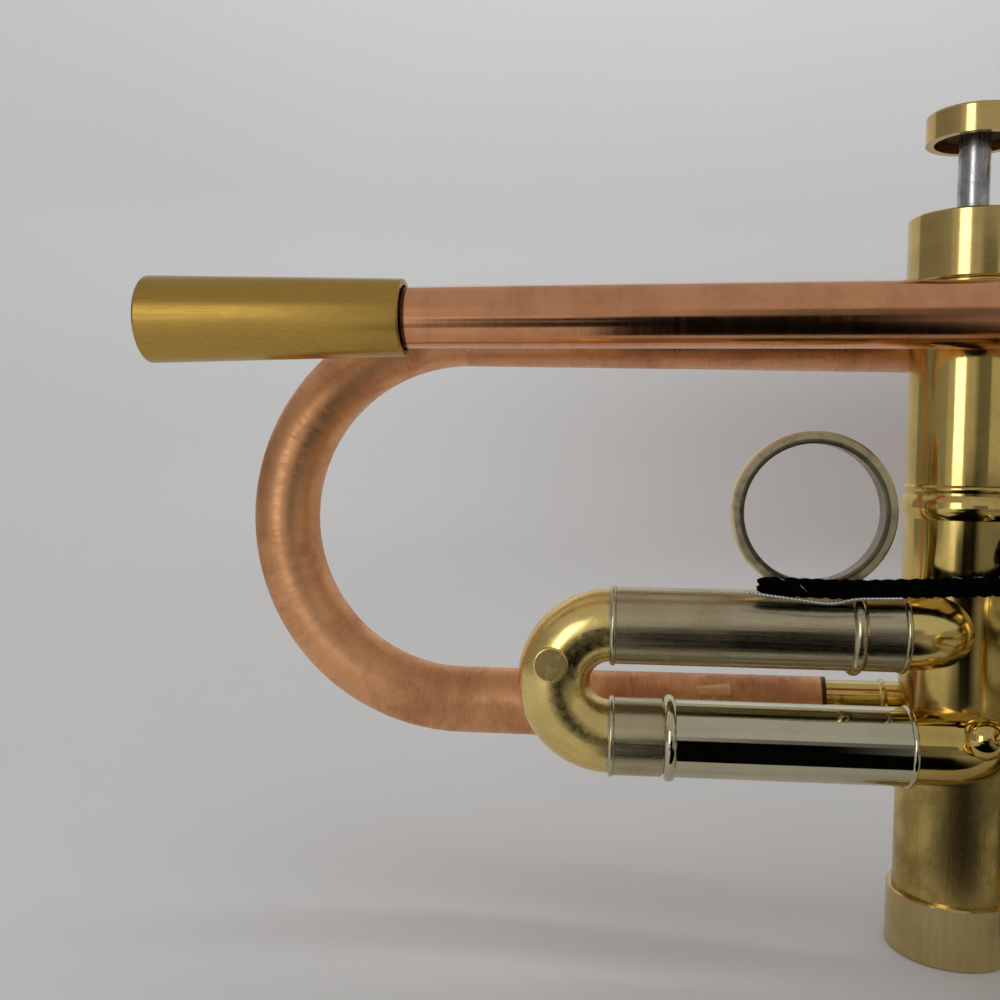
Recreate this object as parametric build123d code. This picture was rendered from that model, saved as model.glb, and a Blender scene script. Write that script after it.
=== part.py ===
from build123d import *
import os
from math import acos, cos, degrees, pi, radians, sin, sqrt

# Soprano bugle with three piston valves, in millimetres.
# +X points to the bell, +Z up along the valves, +Y to the bell side.
# The origin is the centre of the flat underside of the second valve's bottom cap.

# Valve group
VALVE_PITCH = 24.0
VALVE_X = {1: -VALVE_PITCH, 2: 0.0, 3: VALVE_PITCH}
CASING_R = 9.7
CASING_BORE = 8.5
CASING_Z = (3.0, 126.5)
BOTTOM_CAP_R = 10.7
BOTTOM_CAP_H = 10.85
CAP_FLOOR = 1.6
TOP_CAP_R = 10.5
TOP_CAP_Z = (118.3, 129.7)
CAP_PLATE = 2.3
STEM_R = 2.63
BUTTON_R = 8.1
BUTTON_Z = (142.6, 147.45)
STROKE = 12.5

# Pistons
PISTON_R = 8.45
PISTON_WALL = 0.6
PISTON_Z = (31.0, 80.0)
BARREL_R = 7.4
BARREL_TOP = 123.8
PASSAGE_R = 5.0
PASSAGE_WALL = 0.4

# Windway
BORE_R = 5.84
TUBE_R = 6.33
MAIN_Z = 41.0

# Telescoping slides: sleeve outside and inside, inner tube outside
SLEEVE_R = 6.7
SLEEVE_BORE = 6.25
INNER_R = 6.2
BEAD_R = 7.5
FERRULE_R = 7.0
RING_GAP = 0.3

# Valve slides: leg heights shared by all three, and the crook's half spacing
SLIDE_Z = (38.65, 58.23)
SLIDE_MID_Z = (SLIDE_Z[0] + SLIDE_Z[1]) / 2
SLIDE_HALF = (SLIDE_Z[1] - SLIDE_Z[0]) / 2
ELBOW_R = 8.0
SLIDE1_Y = -9.3
SLIDE1_CROOK_X = -85.55
SLIDE3_Y = -14.3
SLIDE3_CROOK_X = 104.9

# Mouthpipe
LEAD_Y = -16.3
LEAD_Z = 111.1
LEAD_TILT = 0.42
LEAD_X = (-124.0, 66.0)
LEAD_R = (5.08, 5.95)
RECEIVER_X = (-165.4, -120.9)
RECEIVER_R = (7.43, 6.45)

# Bell
BELL_Y = 17.8
BELL_Z = 111.6
BELL_RIM_X = 320.0
BELL_START_X = -114.6
BELL_WALL = 0.55
BELL_ASYMPTOTE = 2.63
BELL_SCALE = 915.8
BELL_OFFSET = 21.72
BELL_POWER = 0.895
RIM_BEAD_R = 1.65
RIM_WIRE_R = 1.1

# Bell bow and tail
BOW_R = 6.45
BOW_LOW = (BELL_START_X, 13.4, 38.75)
TAIL_KNEE = (-104.0, 13.4, 38.75)
TAIL_KNEE_R = 90.0
TAIL_CASING = (-32.8, 3.9, 41.0)
TAIL_END_X = -45.5

# Main tuning slide
TUNE_UP = (-16.3, 111.73)
TUNE_LOW = (2.0, 41.0)
TUNE_SLEEVE_X = (62.0, 48.0)
TUNE_OPEN_X = 136.0
TUNE_CROOK_X = 146.0
TUNE_LEG = 12.0

# Water key
KEY_PIN = (148.9, 2.0, 29.3)
KEY_NIPPLE_X = 154.6
KEY_NIPPLE_Z = 33.0

# Cord
CORD_R = 2.0


def rod(start, end, radius):
    """Solid cylinder between two points."""
    start, end = Vector(*start), Vector(*end)
    place = Plane(origin=start, z_dir=end - start)
    return place * Cylinder(radius, (end - start).length, align=(Align.CENTER, Align.CENTER, Align.MIN))


def tube(start, end, outer, inner):
    """Straight tube between two points."""
    return rod(start, end, outer) - rod(start, end, inner)


def along_x(x0, x1, y, z):
    """End points of a line parallel to X."""
    return (x0, y, z), (x1, y, z)


def section(path, radius):
    """Disc square to the start of a path."""
    return Plane(origin=path @ 0, z_dir=path % 0) * Circle(radius)


def bent_rod(path, radius):
    """Solid round bar swept along a path."""
    return sweep(section(path, radius), path=path)


def bent_tube(path, outer, inner):
    """Round tube swept along a path."""
    return bent_rod(path, outer) - bent_rod(path, inner)


def turned(profile, start, direction=(1, 0, 0)):
    """Solid of revolution: profile is a closed list of (along, radius) edges about the local Z axis."""
    place = Plane(origin=start, z_dir=direction)
    return place * revolve(make_face(profile), Axis.Z)


def half_round_ring(width, inner, side, crown):
    """Turned ring with flat sides up to `side` and a rounded crown."""
    edges = [
        Line((inner, 0, 0), (side, 0, 0)),
        ThreePointArc((side, 0, 0), (crown, 0, width / 2), (side, 0, width)),
        Line((side, 0, width), (inner, 0, width)),
        Line((inner, 0, width), (inner, 0, 0)),
    ]
    return edges


def bead(start, direction, width, inner, crown):
    """Rounded reinforcing ring on a tube, with low flat sides and a high crown."""
    side = inner + (crown - inner) * 0.45
    return turned(half_round_ring(width, inner, side, crown), start, direction)


def u_bend(centre, across, forward, half):
    """Half circle from centre + across * half to centre - across * half, bulging towards forward."""
    centre, across, forward = Vector(*centre), Vector(*across), Vector(*forward)
    return ThreePointArc(centre + across * half, centre + forward * half, centre - across * half)


def casing_core(number):
    """Solid that fills a valve casing's outside, for cutting tubes flush to it."""
    x = VALVE_X[number]
    return rod((x, 0, 1), (x, 0, 140), CASING_R)


def casing_bore(number):
    x = VALVE_X[number]
    return rod((x, 0, 0), (x, 0, 140), CASING_BORE)


# ---------------------------------------------------------------- mouthpipe and bell

def lead_point(x):
    """Point on the mouthpipe's axis, which rises slightly towards the bell."""
    rise = (x - VALVE_X[1]) * sin(radians(LEAD_TILT))
    return Vector(x, LEAD_Y, LEAD_Z + rise)


def lead_cone(x0, x1, r0, r1):
    start, end = lead_point(x0), lead_point(x1)
    place = Plane(origin=start, z_dir=end - start)
    return place * Cone(r0, r1, (end - start).length, align=(Align.CENTER, Align.CENTER, Align.MIN))


def mouthpiece_receiver():
    """Tapered brass sleeve with the mouthpiece socket at its rear and the mouthpipe in its front."""
    socket_depth = 26.0
    shell = lead_cone(*RECEIVER_X, *RECEIVER_R)
    shell = fillet(shell.edges().group_by(Axis.X)[0], 0.5)
    shell = fillet(shell.edges().group_by(Axis.X)[-1], 0.35)
    socket = lead_cone(RECEIVER_X[0] - 1, RECEIVER_X[0] + socket_depth, 5.0, 4.3)
    seat = rod(lead_point(LEAD_X[0] - 0.2), lead_point(RECEIVER_X[1] + 1), 5.45)
    joint = lead_cone(RECEIVER_X[0] + socket_depth - 0.5, LEAD_X[0], 4.3, 4.55)
    return shell - socket - joint - seat


def leadpipe():
    """Copper mouthpipe, a long slow cone from the receiver to the tuning slide."""
    wall = 0.5
    outside = lead_cone(*LEAD_X, *LEAD_R)
    inside = lead_cone(LEAD_X[0] - 0.5, LEAD_X[1] + 0.5, LEAD_R[0] - wall, LEAD_R[1] - wall)
    return outside - inside


def bell_radius(x):
    """Outside radius of the bell at a station along its axis."""
    from_rim = BELL_RIM_X - RIM_BEAD_R - x
    return BELL_ASYMPTOTE + BELL_SCALE * (from_rim + BELL_OFFSET) ** -BELL_POWER


def bell_stations():
    """Stations along the bell, closer together towards the rim."""
    end = BELL_RIM_X - RIM_BEAD_R
    count = 16
    length = end - BELL_START_X
    return [end - length * (1 - i / (count - 1)) ** 2 for i in range(count)]


def bell_outline(offset):
    """Points of the bell's wall, moved in along the wall's normal by offset."""
    points = []
    step = 0.01
    for x in bell_stations():
        slope = (bell_radius(x + step) - bell_radius(x - step)) / (2 * step)
        norm = sqrt(1 + slope * slope)
        points.append((bell_radius(x) - offset / norm, 0, x + offset * slope / norm))
    return points


def bell():
    """One-piece copper bell: long stem, flare and rolled rim."""
    outer, inner = bell_outline(0), bell_outline(BELL_WALL)
    inner[0] = (inner[0][0], 0, outer[0][2])
    wall = make_face([
        Spline(*outer),
        Line(outer[-1], inner[-1]),
        Spline(*inner),
        Line(inner[0], outer[0]),
    ])
    horn = Plane(origin=(0, BELL_Y, BELL_Z), z_dir=(1, 0, 0)) * revolve(wall, Axis.Z)
    ring_r = bell_radius(BELL_RIM_X - RIM_BEAD_R)
    place = Plane(origin=(BELL_RIM_X - RIM_BEAD_R, BELL_Y, BELL_Z), z_dir=(1, 0, 0))
    return horn + place * Torus(ring_r, RIM_BEAD_R) - place * Torus(ring_r, RIM_WIRE_R + 0.02)


def bell_rim_wire():
    """Stiffening wire that the rim is rolled over."""
    ring_r = bell_radius(BELL_RIM_X - RIM_BEAD_R)
    place = Plane(origin=(BELL_RIM_X - RIM_BEAD_R, BELL_Y, BELL_Z), z_dir=(1, 0, 0))
    return place * Torus(ring_r, RIM_WIRE_R)


def bow_path():
    """Bow from the bell stem round to the tail, then the tail to its end at the first valve."""
    top = Vector(BELL_START_X, BELL_Y, BELL_Z)
    low = Vector(*BOW_LOW)
    half = (top - low).length / 2
    arc = u_bend((top + low) / 2, (top - low).normalized(), (-1, 0, 0), half)
    tail = FilletPolyline(BOW_LOW, TAIL_KNEE, tail_point(TAIL_END_X), radius=TAIL_KNEE_R)
    return Wire([*arc.edges(), *tail.edges()])


def tail_point(x):
    """Point on the tail's straight run, from its knee to the first casing."""
    knee, end = Vector(*TAIL_KNEE), Vector(*TAIL_CASING)
    return knee + (end - knee) * ((x - knee.X) / (end.X - knee.X))


def bell_bow():
    """Copper bow and tail in one tube."""
    return bent_tube(bow_path(), BOW_R, BOW_R - BELL_WALL)


def bow_nipple():
    """Brass tube that carries the copper tail into the first valve, with a collar at the casing."""
    insert = 8.0
    nipple = tube(tail_point(TAIL_END_X - insert), tail_point(VALVE_X[1]), BOW_R - BELL_WALL - 0.03, 5.4)
    start, end = tail_point(TAIL_END_X + 9.2), tail_point(TAIL_END_X + 10.4)
    collar = bead(start, end - start, (end - start).length, 5.6, 6.3)
    return nipple + collar - casing_core(1)


def tail_patch():
    """Round solder patch on the tail's near side."""
    patch = rod((-66.3, -6.0, 44.6), (-66.3, 4.0, 44.6), 3.1)
    outer = rod(tail_point(-80), tail_point(-52), BOW_R + 0.45)
    inner = rod(tail_point(-82), tail_point(-50), BOW_R)
    return patch & outer - inner


def saddle(number, y, z, pipe):
    """Small solder block between a casing and a pipe beside it."""
    x = VALVE_X[number]
    block = Pos(x, (CASING_R * (1 if y > 0 else -1) + y) / 2, z) * Box(7, abs(y) - CASING_R, 6)
    return (block - casing_core(number) - pipe).solids().sort_by(SortBy.VOLUME)[-1]


def solder_saddles(horn, pipe_fill, stem_fill):
    """Blocks that hold the mouthpipe and the bell stem to the first and third casings."""
    blocks = [saddle(n, LEAD_Y, LEAD_Z, pipe_fill) for n in (1, 3)]
    return Compound(blocks + [saddle(n, BELL_Y, BELL_Z, stem_fill) for n in (1, 3)])


# ---------------------------------------------------------------- valves

def elbow_path(number, leg):
    """Axis of the tube that joins a slide leg to its casing; leg 0 is the lower one."""
    z = SLIDE_Z[leg]
    if number == 1:
        start_x, bend_x = ((-34.35, -29.5), (-36.0, -36.0))[leg]
        y, forward = SLIDE1_Y, 1
    else:
        start_x, bend_x = 36.2, 36.0
        y, forward = SLIDE3_Y, -1
    turn = sin(radians(45)) * ELBOW_R
    bend = ThreePointArc(
        (bend_x, y, z),
        (bend_x + forward * turn, y + ELBOW_R - turn, z),
        (bend_x + forward * ELBOW_R, y + ELBOW_R, z),
    )
    if abs(start_x - bend_x) < 1e-6:
        return Wire(bend.edges())
    return Wire([*Line((start_x, y, z), (bend_x, y, z)).edges(), *bend.edges()])


def main_ports(number):
    """Straight holes through a casing's wall for the main windway, rear and front."""
    x = VALVE_X[number]
    rear = rod((x - 12, 0, MAIN_Z), (x, 0, MAIN_Z), BORE_R)
    front = rod((x, 0, MAIN_Z), (x + 12, 0, MAIN_Z), BORE_R)
    if number == 1:
        rear = rod(tail_point(x - 12), tail_point(x), 5.4)
    if number == 3:
        front = rod((x, *TUNE_LOW), (x + 12, *TUNE_LOW), BORE_R)
    return rear + front


def slide_ports(number):
    """Holes for the two legs of a valve's slide."""
    if number == 2:
        legs = [rod((0, 0, z), (0, -12, z), BORE_R) for z in SLIDE_Z]
    else:
        legs = [bent_rod(elbow_path(number, leg), BORE_R) for leg in (0, 1)]
    return legs[0] + legs[1]


def valve_casing(number):
    """Casing tube with its ports, the two beads at the joint of its halves and the lip below the cap."""
    x = VALVE_X[number]
    wall = rod((x, 0, CASING_Z[0]), (x, 0, CASING_Z[1]), CASING_R)
    up = (0, 0, 1)
    wall += bead((x, 0, 77.4), up, 4.2, CASING_R - 0.5, 10.35)
    wall += bead((x, 0, 82.0), up, 1.4, CASING_R - 0.5, 10.1)
    wall += bead((x, 0, 117.4), up, 0.8, CASING_R - 0.5, 10.2)
    return wall - casing_bore(number) - main_ports(number) - slide_ports(number)


def bottom_cap(number):
    """Screw cap with a flat underside and a ring of small vent holes."""
    x = VALVE_X[number]
    cup = rod((x, 0, 0), (x, 0, BOTTOM_CAP_H), BOTTOM_CAP_R)
    cup = fillet(cup.edges().group_by(Axis.Z)[0], 0.5)
    cup = chamfer(cup.edges().group_by(Axis.Z)[-1], 0.25)
    cup -= rod((x, 0, CAP_FLOOR), (x, 0, 20), CASING_R + 0.05)
    for vent in PolarLocations(4.5, 3):
        cup -= Pos(x, 0, 0) * vent * Cylinder(0.8, 6)
    return cup


def top_cap(number):
    """Screw cap that the stem passes through."""
    x = VALVE_X[number]
    low, high = TOP_CAP_Z
    cup = rod((x, 0, low), (x, 0, high), TOP_CAP_R)
    cup = chamfer(cup.edges().group_by(Axis.Z)[-1], 0.3)
    cup = chamfer(cup.edges().group_by(Axis.Z)[0], 0.25)
    inside = rod((x, 0, low - 1), (x, 0, high - CAP_PLATE), CASING_R + 0.05)
    return cup - inside - rod((x, 0, low), (x, 0, high + 1), STEM_R + 0.3)


def port(x, bearing, z):
    """Middle of a port in the piston's wall, at a bearing in degrees."""
    return Vector(x + PISTON_R * cos(radians(bearing)), PISTON_R * sin(radians(bearing)), z)


def passage(start, end, radius):
    """Straight air passage through a piston, from one port to another."""
    past = (end - start).normalized() * 6
    return rod(start - past, end + past, radius)


PORT_BEARINGS = {1: (156, 240, 360), 2: (180, 270, 360), 3: (180, 292, 372)}


def piston(number):
    """Hollow piston: a ported lower half with three air passages, and a narrower upper barrel."""
    x = VALVE_X[number]
    low, high = PISTON_Z
    rear, slide, front = PORT_BEARINGS[number]
    inner = PISTON_R - PISTON_WALL
    solid = rod((x, 0, low), (x, 0, high), PISTON_R)
    hollow = solid - rod((x, 0, low + 1), (x, 0, high - 1), inner)
    ways = [
        (port(x, rear, MAIN_Z + STROKE), port(x, slide, SLIDE_Z[0] + STROKE), PASSAGE_R),
        (port(x, slide, SLIDE_Z[1] + STROKE), port(x, front, MAIN_Z + STROKE), PASSAGE_R),
        (port(x, rear, MAIN_Z), port(x, front, MAIN_Z), BORE_R - 0.1),
    ]
    for start, end, radius in ways:
        hollow += passage(start, end, radius + PASSAGE_WALL) & solid
    for way in ways:
        hollow -= passage(*way)
    barrel = tube((x, 0, high - 0.5), (x, 0, BARREL_TOP), BARREL_R, BARREL_R - PISTON_WALL)
    plate = rod((x, 0, BARREL_TOP - 1.2), (x, 0, BARREL_TOP), BARREL_R)
    return hollow + barrel + plate


def valve_stem(number):
    x = VALVE_X[number]
    return rod((x, 0, BARREL_TOP), (x, 0, BUTTON_Z[1] - 1.55), STEM_R)


def finger_button(number):
    """Plain disc with a hollow underside."""
    x = VALVE_X[number]
    low, high = BUTTON_Z
    disc = rod((x, 0, low), (x, 0, high), BUTTON_R)
    disc = fillet(disc.edges().group_by(Axis.Z)[-1], 0.45)
    disc -= rod((x, 0, low - 1), (x, 0, high - 1.55), BUTTON_R - 1.4)
    return disc - rod((x, 0, high - 0.35), (x, 0, high + 1), BUTTON_R - 1.7)


def valve_felts(number):
    """Felt washers under the top cap and under the button."""
    x = VALVE_X[number]
    stop = tube((x, 0, BARREL_TOP), (x, 0, TOP_CAP_Z[1] - CAP_PLATE - 0.1), 7.2, STEM_R + 0.1)
    top = BUTTON_Z[1] - 1.6
    cushion = tube((x, 0, top - 1.6), (x, 0, top), BUTTON_R - 1.6, STEM_R + 0.1)
    return Compound([stop, cushion])


def valve_spring(number):
    """Compression spring between the bottom cap's floor and the piston."""
    wire_r, turns = 0.45, 8
    bottom, top = CAP_FLOOR + wire_r + 0.1, PISTON_Z[0] - wire_r - 0.1
    path = Helix(pitch=(top - bottom) / turns, height=top - bottom, radius=6.9)
    coil = sweep(section(path, wire_r), path=path, is_frenet=True)
    return Pos(VALVE_X[number], 0, bottom) * coil


def valve_link_tubes():
    """Short tubes between the casings, and the one from the tuning slide into the third valve."""
    links = []
    for left in (1, 2):
        link = tube(*along_x(VALVE_X[left], VALVE_X[left + 1], 0, MAIN_Z), TUBE_R, BORE_R)
        links.append(link - casing_core(left) - casing_core(left + 1))
    entry = tube(*along_x(VALVE_X[3], TUNE_SLEEVE_X[1] - 1.5, *TUNE_LOW), TUBE_R, BORE_R)
    links.append(entry - casing_core(3))
    return Compound([solid for link in links for solid in link.solids()])


# ---------------------------------------------------------------- first valve slide

def elbow(number, leg):
    """Bent tube from a slide leg into its casing."""
    return bent_tube(elbow_path(number, leg), TUBE_R, BORE_R) - casing_core(number)


def first_slide_lower_elbow():
    """Lower elbow, with a small ball soldered to the outside of its bend."""
    ball = Pos(-23.6, -13.1, 41.4) * Sphere(3.6)
    core = bent_rod(elbow_path(1, 0), TUBE_R - 0.2)
    link = rod(*along_x(VALVE_X[1], VALVE_X[2], 0, MAIN_Z), TUBE_R)
    return elbow(1, 0) + (ball - core) - casing_core(1) - link


def first_slide_upper_inner():
    """Fixed inner tube of the upper leg, with its collar and end ring at the elbow."""
    y, z = SLIDE1_Y, SLIDE_Z[1]
    body = rod(*along_x(-82.0, -36.6, y, z), INNER_R)
    body += rod(*along_x(-43.1, -37.1, y, z), SLEEVE_R)
    body += bead((-37.1, y, z), (1, 0, 0), 1.1, BORE_R, FERRULE_R)
    return body - rod(*along_x(-90, -30, y, z), BORE_R)


def first_slide_lower_outer():
    """Fixed outer sleeve of the lower leg, with the rounded ring at its open end."""
    y, z = SLIDE1_Y, SLIDE_Z[0]
    body = rod(*along_x(-75.2, -35.0, y, z), SLEEVE_R)
    body += bead((-76.15, y, z), (1, 0, 0), 2.0, SLEEVE_BORE, BEAD_R)
    body += bead((-35.45, y, z), (1, 0, 0), 1.1, BORE_R, FERRULE_R)
    body -= rod(*along_x(-90, -35.45, y, z), SLEEVE_BORE)
    return body - rod(*along_x(-90, -30, y, z), BORE_R)


def first_slide_upper_sleeve():
    """Moving outer sleeve of the upper leg."""
    y, z = SLIDE1_Y, SLIDE_Z[1]
    body = rod(*along_x(-84.65, -44.0, y, z), SLEEVE_R)
    body += bead((-45.5, y, z), (1, 0, 0), 2.1, SLEEVE_BORE, BEAD_R)
    return body - rod(*along_x(-90, -40, y, z), SLEEVE_BORE)


def first_slide_lower_inner():
    """Moving inner tube of the lower leg, with its stop collar."""
    y, z = SLIDE1_Y, SLIDE_Z[0]
    body = rod(*along_x(-84.65, -38.0, y, z), INNER_R)
    body += rod(*along_x(-84.65, -76.15 - RING_GAP, y, z), SLEEVE_R)
    return body - rod(*along_x(-90, -30, y, z), BORE_R)


def first_slide_crook():
    """Brass bow of the slide, with a ferrule on each leg."""
    path = Wire(u_bend((SLIDE1_CROOK_X, SLIDE1_Y, SLIDE_MID_Z), (0, 0, 1), (-1, 0, 0), SLIDE_HALF).edges())
    body = bent_rod(path, TUBE_R)
    for z in SLIDE_Z:
        body += bead((SLIDE1_CROOK_X - 0.1, SLIDE1_Y, z), (1, 0, 0), 1.0, BORE_R, FERRULE_R)
    nib = rod((-95.6, -12.0, 52.15), (-95.6, -16.05, 52.15), 3.0)
    nib = fillet(nib.edges().group_by(Axis.Y)[0], 0.3)
    return body + nib - bent_rod(path, BORE_R)


def thumb_ring():
    """Flat band standing on the moving sleeve, with a small solder foot."""
    x, y, z, outer, inner, width = -51.7, SLIDE1_Y, 78.5, 13.8, 11.7, 4.7
    band = tube((x, y - width / 2, z), (x, y + width / 2, z), outer, inner)
    edges = band.edges().filter_by(GeomType.CIRCLE)
    band = chamfer(edges, 0.35)
    sleeve_top = SLIDE_Z[1] + SLEEVE_R
    foot = Pos(x, y, sleeve_top + 0.6) * Box(9.0, width - 1.4, 3.0)
    foot -= rod((x, y - 9, z), (x, y + 9, z), inner + 0.6)
    return band + foot - rod(*along_x(-80, -40, y, SLIDE_Z[1]), SLEEVE_R)


# ---------------------------------------------------------------- second valve slide

SECOND_BEAD_Y = -29.0
SECOND_CROOK_Y = -32.0


def second_slide_outer():
    """Two fixed sleeves on the second casing, each with a rounded ring at its open end."""
    legs = []
    for z in SLIDE_Z:
        leg = rod((0, -6, z), (0, SECOND_BEAD_Y + 1, z), SLEEVE_R)
        leg += bead((0, SECOND_BEAD_Y, z), (0, 1, 0), 2.0, SLEEVE_BORE, BEAD_R)
        leg -= rod((0, -10.4, z), (0, SECOND_BEAD_Y - 1, z), SLEEVE_BORE)
        leg -= rod((0, 0, z), (0, -15, z), BORE_R)
        legs.append((leg - casing_core(2)).solid())
    return Compound(legs)


def second_slide_inner():
    """Two moving inner tubes with their stop collars."""
    legs = []
    for z in SLIDE_Z:
        leg = rod((0, -11.0, z), (0, SECOND_CROOK_Y + 0.9, z), INNER_R)
        leg += rod((0, SECOND_BEAD_Y - RING_GAP, z), (0, SECOND_CROOK_Y + 0.9, z), SLEEVE_R)
        legs.append((leg - rod((0, -9, z), (0, -40, z), BORE_R)).solid())
    return Compound(legs)


def second_slide_crook():
    """Short bow with a ferrule on each leg and a pull knob."""
    path = Wire(u_bend((0, SECOND_CROOK_Y, SLIDE_MID_Z), (0, 0, 1), (0, -1, 0), SLIDE_HALF).edges())
    body = bent_rod(path, TUBE_R)
    for z in SLIDE_Z:
        body += bead((0, SECOND_CROOK_Y - 0.1, z), (0, 1, 0), 1.0, BORE_R, FERRULE_R)
    front = SECOND_CROOK_Y - SLIDE_HALF - TUBE_R
    knob = rod((0, front + 1.0, SLIDE_MID_Z), (0, front - 2.0, SLIDE_MID_Z), 1.6)
    knob += Pos(0, front - 3.6, SLIDE_MID_Z) * Sphere(2.9)
    return body + knob - bent_rod(path, BORE_R)


# ---------------------------------------------------------------- third valve slide

def third_slide_elbows():
    """Two bent tubes from the third casing to its slide."""
    return Compound([solid for leg in (0, 1) for solid in elbow(3, leg).solids()])


def third_slide_fixed_tubes():
    """Fixed upper inner tube and fixed lower outer sleeve."""
    y = SLIDE3_Y
    low, high = SLIDE_Z
    upper = rod(*along_x(37.0, 101.0, y, high), INNER_R)
    upper += rod(*along_x(37.3, 43.2, y, high), SLEEVE_R)
    upper += bead((36.2, y, high), (1, 0, 0), 1.1, BORE_R, FERRULE_R)
    upper -= rod(*along_x(30, 110, y, high), BORE_R)
    lower = rod(*along_x(37.0, 94.0, y, low), SLEEVE_R)
    lower += bead((36.2, y, low), (1, 0, 0), 1.1, BORE_R, FERRULE_R)
    lower += bead((93.0, y, low), (1, 0, 0), 2.0, SLEEVE_BORE, BEAD_R)
    lower -= rod(*along_x(37.3, 110, y, low), SLEEVE_BORE)
    lower -= rod(*along_x(30, 110, y, low), BORE_R)
    return Compound([upper.solid(), lower.solid()])


def third_slide_moving_tubes():
    """Moving upper outer sleeve and moving lower inner tube."""
    y = SLIDE3_Y
    low, high = SLIDE_Z
    end = SLIDE3_CROOK_X - 0.9
    upper = rod(*along_x(44.5, end, y, high), SLEEVE_R)
    upper += bead((43.5, y, high), (1, 0, 0), 2.1, SLEEVE_BORE, BEAD_R)
    upper -= rod(*along_x(40, 110, y, high), SLEEVE_BORE)
    lower = rod(*along_x(40.0, end, y, low), INNER_R)
    lower += rod(*along_x(95.0 + RING_GAP, end, y, low), SLEEVE_R)
    lower -= rod(*along_x(30, 110, y, low), BORE_R)
    return Compound([upper.solid(), lower.solid()])


def third_slide_crook():
    """Brass bow of the third slide, with a ferrule on each leg."""
    path = Wire(u_bend((SLIDE3_CROOK_X, SLIDE3_Y, SLIDE_MID_Z), (0, 0, 1), (1, 0, 0), SLIDE_HALF).edges())
    body = bent_rod(path, TUBE_R)
    for z in SLIDE_Z:
        body += bead((SLIDE3_CROOK_X - 0.9, SLIDE3_Y, z), (1, 0, 0), 1.0, BORE_R, FERRULE_R)
    return body - bent_rod(path, BORE_R)


def finger_ring():
    """Ring-finger band on the third slide's moving sleeve."""
    x, y, outer, inner, width = 60.0, SLIDE3_Y, 12.8, 10.9, 4.7
    z = SLIDE_Z[1] + SLEEVE_R + outer - 0.3
    band = tube((x, y - width / 2, z), (x, y + width / 2, z), outer, inner)
    band = chamfer(band.edges().filter_by(GeomType.CIRCLE), 0.35)
    foot = Pos(x, y, SLIDE_Z[1] + SLEEVE_R + 0.6) * Box(9.0, width - 1.4, 3.0)
    foot -= rod((x, y - 9, z), (x, y + 9, z), inner + 0.6)
    return band + foot - rod(*along_x(45, 75, y, SLIDE_Z[1]), SLEEVE_R)


# ---------------------------------------------------------------- main tuning slide

def tuning_slide_sleeves():
    """Two fixed outer sleeves, the upper on the mouthpipe and the lower on the third valve's tube."""
    legs = []
    for (y, z), start, throat in ((TUNE_UP, TUNE_SLEEVE_X[0], 6.05), (TUNE_LOW, TUNE_SLEEVE_X[1], BORE_R)):
        leg = rod(*along_x(start, TUNE_OPEN_X + 1, y, z), SLEEVE_R)
        leg += bead((TUNE_OPEN_X, y, z), (1, 0, 0), 2.0, SLEEVE_BORE, BEAD_R)
        leg += bead((start - 1.5, y, z), (1, 0, 0), 2.0, throat, FERRULE_R)
        leg -= rod(*along_x(start, TUNE_OPEN_X + 3, y, z), SLEEVE_BORE)
        leg -= rod(*along_x(start - 3, start + 1, y, z), throat)
        legs.append(leg.solid())
    return Compound(legs)


def tuning_slide_inners():
    """Two moving inner tubes with their stop collars."""
    legs = []
    for y, z in (TUNE_UP, TUNE_LOW):
        leg = rod(*along_x(80.0, TUNE_CROOK_X - 0.9, y, z), INNER_R)
        leg += rod(*along_x(TUNE_OPEN_X + 2.0 + RING_GAP, TUNE_CROOK_X - 0.9, y, z), SLEEVE_R)
        legs.append((leg - rod(*along_x(70, 150, y, z), BORE_R)).solid())
    return Compound(legs)


def tuning_path():
    """Axis of the tuning bow, with a straight leg at each end."""
    up, low = Vector(TUNE_CROOK_X, *TUNE_UP), Vector(TUNE_CROOK_X, *TUNE_LOW)
    reach = Vector(TUNE_LEG, 0, 0)
    half = (up - low).length / 2
    arc = u_bend((up + low) / 2 + reach, (up - low).normalized(), (1, 0, 0), half)
    legs = Line(up, up + reach), Line(low + reach, low)
    return Wire([*legs[0].edges(), *arc.edges(), *legs[1].edges()])


def tuning_slide_crook():
    """Large front bow, with its ferrules and the water key's nipple."""
    path = tuning_path()
    body = bent_rod(path, TUBE_R)
    for y, z in (TUNE_UP, TUNE_LOW):
        body += bead((TUNE_CROOK_X - 0.9, y, z), (1, 0, 0), 1.0, BORE_R, FERRULE_R)
    y, z = TUNE_LOW
    body += rod((KEY_NIPPLE_X, y, KEY_NIPPLE_Z), (KEY_NIPPLE_X, y, z), 3.1)
    body -= rod((KEY_NIPPLE_X, y, KEY_NIPPLE_Z - 1), (KEY_NIPPLE_X, y, z), 1.9)
    return body - bent_rod(path, BORE_R)


def water_key_saddle():
    """Two ears soldered under the tuning bow, with the hinge pin through them."""
    x, y, z = KEY_PIN
    ears = []
    for side in (-1, 1):
        ear = Pos(x, y + side * 3.6, (z - 2.2 + 37) / 2) * Box(4.4, 1.0, 37 - z + 2.2)
        ears.append(ear)
    pin = rod((x, y - 4.6, z), (x, y + 4.6, z), 0.8)
    pipe = rod(*along_x(140, 160, *TUNE_LOW), TUBE_R)
    return ears[0] + ears[1] + pin - pipe


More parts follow.
